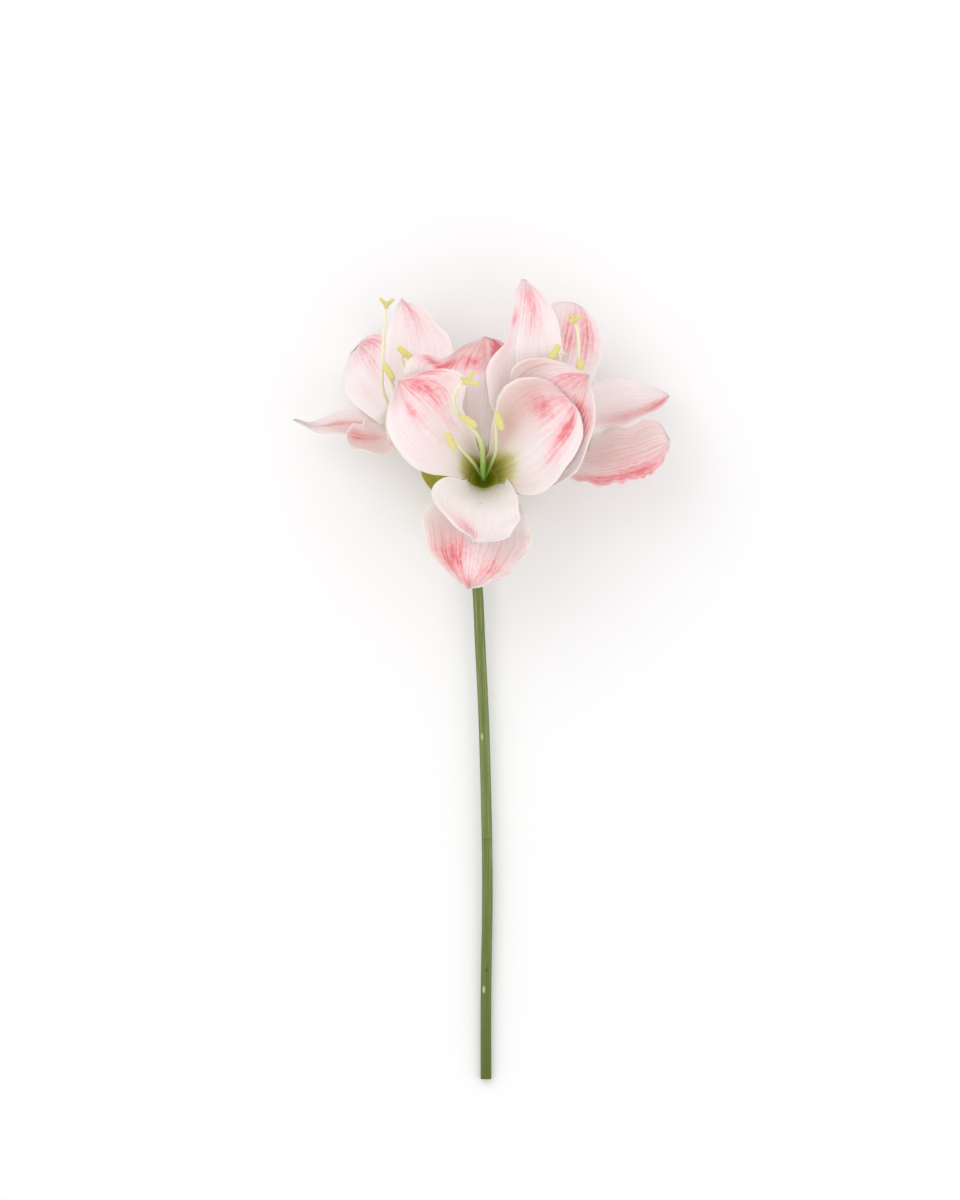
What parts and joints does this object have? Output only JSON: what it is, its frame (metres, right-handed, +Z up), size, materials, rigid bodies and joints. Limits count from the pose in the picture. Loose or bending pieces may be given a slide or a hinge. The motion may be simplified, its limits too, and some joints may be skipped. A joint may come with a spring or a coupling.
{
  "type": "amaryllis",
  "caption": "Cut amaryllis stem lying down: a long bare scape with an umbel of wide trumpet blooms, blush pink tepals, green throats and yellow stamens.",
  "frame": {"origin": "centre of the bounding box's base, on the surface that the stem lies on", "axes": "+Y along the scape towards the blooms, +Z up from the surface, +X across the stem"},
  "size_m": [0.3208, 0.6789, 0.1609],
  "materials": {
    "scape_green": "satin, finely ridged lengthwise",
    "bract_olive": "matte, papery",
    "tepal_blush": "matte, soft, veined lengthwise",
    "filament_green": "satin",
    "pollen_yellow": "matte"
  },
  "bodies": {
    "root": {"scape": "scape_green", "spathe_bract_left": "bract_olive", "spathe_bract_right": "bract_olive", "pedicel_and_ovary_front": "scape_green", "perianth_front": "tepal_blush", "style_and_filaments_front": "filament_green", "anther_front_1": "pollen_yellow", "anther_front_2": "pollen_yellow", "anther_front_3": "pollen_yellow", "stigma_front": "pollen_yellow", "pedicel_and_ovary_left": "scape_green", "perianth_left": "tepal_blush", "style_and_filaments_left": "filament_green", "anther_left_1": "pollen_yellow", "anther_left_2": "pollen_yellow", "anther_left_3": "pollen_yellow", "stigma_left": "pollen_yellow", "pedicel_and_ovary_right": "scape_green", "perianth_right": "tepal_blush", "style_and_filaments_right": "filament_green", "anther_right_1": "pollen_yellow", "anther_right_2": "pollen_yellow", "anther_right_3": "pollen_yellow", "stigma_right": "pollen_yellow"}
  },
  "joints": []
}
